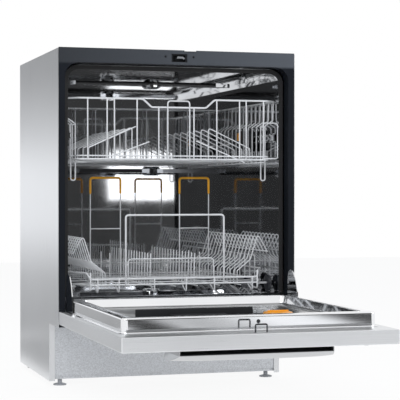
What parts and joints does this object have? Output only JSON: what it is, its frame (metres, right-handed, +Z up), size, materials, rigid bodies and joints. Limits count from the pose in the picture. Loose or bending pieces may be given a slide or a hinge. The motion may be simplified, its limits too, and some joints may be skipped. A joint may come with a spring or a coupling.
{
  "type": "commercial undercounter dishwasher",
  "caption": "Freestanding front-loading commercial dishwasher with a drop-down door, pull-out wire racks and rotating spray arms.",
  "frame": {"origin": "middle of the open machine's footprint, on the floor under the feet", "axes": "+Z up, the door opens towards -Y, +X to the right seen from the front"},
  "size_m": [0.598, 1.16, 0.8205],
  "materials": {
    "brushed_steel": "brushed",
    "polished_steel": "polished",
    "slate_frame": "satin",
    "galvanised": "spangled",
    "black_rubber": "matte",
    "black_plastic": "matte",
    "grey_plastic": "matte",
    "coated_wire": "plastic coated",
    "wheel_plastic": "satin",
    "yellow_grip": "satin",
    "orange_plastic": "satin",
    "dark_glass": "gloss"
  },
  "bodies": {
    "cabinet": {"side_panel_left": "brushed_steel", "side_panel_right": "brushed_steel", "front_frame": "slate_frame", "top_cover": "brushed_steel", "back_panel": "galvanised", "tub": "polished_steel", "door_seal": "black_rubber", "base_pan": "galvanised", "plinth_panel": "galvanised", "foot_front_left": "grey_plastic", "foot_front_right": "grey_plastic", "foot_back_left": "grey_plastic", "foot_back_right": "grey_plastic", "lock_catch": "black_plastic", "rack_rail_left": "polished_steel", "rack_rail_right": "polished_steel", "sump": "grey_plastic", "circulation_pump": "black_plastic", "drain_pump": "black_plastic", "flow_heater": "polished_steel", "inlet_valve": "black_plastic"},
    "door": {"door_outer_panel": "brushed_steel", "door_liner": "polished_steel", "hinge_cheek_left": "grey_plastic", "hinge_cheek_right": "grey_plastic", "door_handle": "brushed_steel", "control_fascia": "black_plastic", "display_window": "dark_glass", "lock_strike": "polished_steel", "dispenser_body": "black_plastic"},
    "dispenser_lid": {"dispenser_lid": "black_plastic"},
    "rinse_aid_cap": {"rinse_aid_cap": "orange_plastic"},
    "power_button": {"power_button": "grey_plastic"},
    "start_button": {"start_button": "grey_plastic"},
    "upper_rack": {"upper_rack_frame": "coated_wire", "carriage_left": "black_plastic", "carriage_right": "black_plastic"},
    "height_lever_left": {"height_lever_left": "orange_plastic"},
    "height_lever_right": {"height_lever_right": "orange_plastic"},
    "middle_rail_left": {"middle_rail_left": "polished_steel"},
    "middle_rail_right": {"middle_rail_right": "polished_steel"},
    "lower_rack": {"lower_rack_frame": "coated_wire", "plate_insert": "coated_wire", "insert_grip_left": "yellow_grip", "insert_grip_right": "yellow_grip"},
    "spray_arm_top": {"spray_arm_top": "polished_steel"},
    "spray_arm_middle": {"spray_arm_middle": "polished_steel"},
    "spray_arm_lower": {"spray_arm_lower": "polished_steel"},
    "filter": {"filter": "grey_plastic"},
    "softener_cap": {"softener_cap": "black_plastic"},
    "wheel_left_1": {"rack_wheel_left_1": "wheel_plastic"},
    "wheel_left_2": {"rack_wheel_left_2": "wheel_plastic"},
    "wheel_left_3": {"rack_wheel_left_3": "wheel_plastic"},
    "wheel_left_4": {"rack_wheel_left_4": "wheel_plastic"},
    "wheel_right_1": {"rack_wheel_right_1": "wheel_plastic"},
    "wheel_right_2": {"rack_wheel_right_2": "wheel_plastic"},
    "wheel_right_3": {"rack_wheel_right_3": "wheel_plastic"},
    "wheel_right_4": {"rack_wheel_right_4": "wheel_plastic"}
  },
  "joints": [
    {"name": "door_hinge", "type": "hinge", "parent": "cabinet", "child": "door", "pos_m": [0, 0.04465, 0.19435], "axis": [-1, 0, 0], "range_deg": [0, 90]},
    {"name": "upper_rack_slide", "type": "slide", "parent": "cabinet", "child": "upper_rack", "axis": [0, 1, 0], "range_m": [-0.283, 0]},
    {"name": "lower_rack_slide", "type": "slide", "parent": "cabinet", "child": "lower_rack", "axis": [0, 1, 0], "range_m": [-0.503, 0]},
    {"name": "middle_rail_left_slide", "type": "slide", "parent": "cabinet", "child": "middle_rail_left", "axis": [0, 1, 0], "range_m": [-0.142, 0]},
    {"name": "height_lever_left_press", "type": "slide", "parent": "upper_rack", "child": "height_lever_left", "axis": [-1, 0, 0], "range_m": [0, 0.003], "stiffness_N_per_m": 600},
    {"name": "middle_rail_right_slide", "type": "slide", "parent": "cabinet", "child": "middle_rail_right", "axis": [0, 1, 0], "range_m": [-0.142, 0]},
    {"name": "height_lever_right_press", "type": "slide", "parent": "upper_rack", "child": "height_lever_right", "axis": [1, 0, 0], "range_m": [0, 0.003], "stiffness_N_per_m": 600},
    {"name": "wheel_left_1_spin", "type": "hinge", "parent": "lower_rack", "child": "wheel_left_1", "pos_m": [-0.2636, 0.144, 0.2443], "axis": [-1, 0, 0], "continuous": true},
    {"name": "wheel_left_2_spin", "type": "hinge", "parent": "lower_rack", "child": "wheel_left_2", "pos_m": [-0.2636, 0.239, 0.2443], "axis": [-1, 0, 0], "continuous": true},
    {"name": "wheel_left_3_spin", "type": "hinge", "parent": "lower_rack", "child": "wheel_left_3", "pos_m": [-0.2636, 0.449, 0.2443], "axis": [-1, 0, 0], "continuous": true},
    {"name": "wheel_left_4_spin", "type": "hinge", "parent": "lower_rack", "child": "wheel_left_4", "pos_m": [-0.2636, 0.518, 0.2443], "axis": [-1, 0, 0], "continuous": true},
    {"name": "wheel_right_1_spin", "type": "hinge", "parent": "lower_rack", "child": "wheel_right_1", "pos_m": [0.2636, 0.144, 0.2443], "axis": [-1, 0, 0], "continuous": true},
    {"name": "wheel_right_2_spin", "type": "hinge", "parent": "lower_rack", "child": "wheel_right_2", "pos_m": [0.2636, 0.239, 0.2443], "axis": [-1, 0, 0], "continuous": true},
    {"name": "wheel_right_3_spin", "type": "hinge", "parent": "lower_rack", "child": "wheel_right_3", "pos_m": [0.2636, 0.449, 0.2443], "axis": [-1, 0, 0], "continuous": true},
    {"name": "wheel_right_4_spin", "type": "hinge", "parent": "lower_rack", "child": "wheel_right_4", "pos_m": [0.2636, 0.518, 0.2443], "axis": [-1, 0, 0], "continuous": true},
    {"name": "spray_arm_top_spin", "type": "hinge", "parent": "cabinet", "child": "spray_arm_top", "pos_m": [0, 0.309, 0.756], "axis": [0, 0, 1], "continuous": true},
    {"name": "spray_arm_middle_spin", "type": "hinge", "parent": "upper_rack", "child": "spray_arm_middle", "pos_m": [0, 0.309, 0.53], "axis": [0, 0, 1], "continuous": true},
    {"name": "spray_arm_lower_spin", "type": "hinge", "parent": "cabinet", "child": "spray_arm_lower", "pos_m": [0, 0.309, 0.212], "axis": [0, 0, 1], "continuous": true},
    {"name": "filter_turn", "type": "hinge", "parent": "cabinet", "child": "filter", "pos_m": [0, 0.329, 0.18], "axis": [0, 0, 1], "range_deg": [0, 90]},
    {"name": "softener_cap_turn", "type": "hinge", "parent": "cabinet", "child": "softener_cap", "pos_m": [-0.175, 0.551, 0.305], "axis": [0, -1, 0], "range_deg": [0, 90]},
    {"name": "dispenser_lid_slide", "type": "slide", "parent": "door", "child": "dispenser_lid", "axis": [-1, 0, 0], "range_m": [0, 0.095]},
    {"name": "rinse_aid_cap_turn", "type": "hinge", "parent": "door", "child": "rinse_aid_cap", "pos_m": [0.096, -0.393, 0.205], "axis": [0, 0, 1], "range_deg": [0, 90]},
    {"name": "power_button_press", "type": "slide", "parent": "door", "child": "power_button", "axis": [0, 0, 1], "range_m": [0, 0.0013], "stiffness_N_per_m": 400},
    {"name": "start_button_press", "type": "slide", "parent": "door", "child": "start_button", "axis": [0, 0, 1], "range_m": [0, 0.0013], "stiffness_N_per_m": 400}
  ],
  "couplings": [
    {"joint": "middle_rail_left_slide", "follows": "upper_rack_slide", "ratio": 0.5},
    {"joint": "middle_rail_right_slide", "follows": "upper_rack_slide", "ratio": 0.5},
    {"joint": "wheel_left_1_spin", "follows": "lower_rack_slide", "rad_per_m": 48.781},
    {"joint": "wheel_left_2_spin", "follows": "lower_rack_slide", "rad_per_m": 48.781},
    {"joint": "wheel_left_3_spin", "follows": "lower_rack_slide", "rad_per_m": 48.781},
    {"joint": "wheel_left_4_spin", "follows": "lower_rack_slide", "rad_per_m": 48.781},
    {"joint": "wheel_right_1_spin", "follows": "lower_rack_slide", "rad_per_m": 48.781},
    {"joint": "wheel_right_2_spin", "follows": "lower_rack_slide", "rad_per_m": 48.781},
    {"joint": "wheel_right_3_spin", "follows": "lower_rack_slide", "rad_per_m": 48.781},
    {"joint": "wheel_right_4_spin", "follows": "lower_rack_slide", "rad_per_m": 48.781}
  ]
}
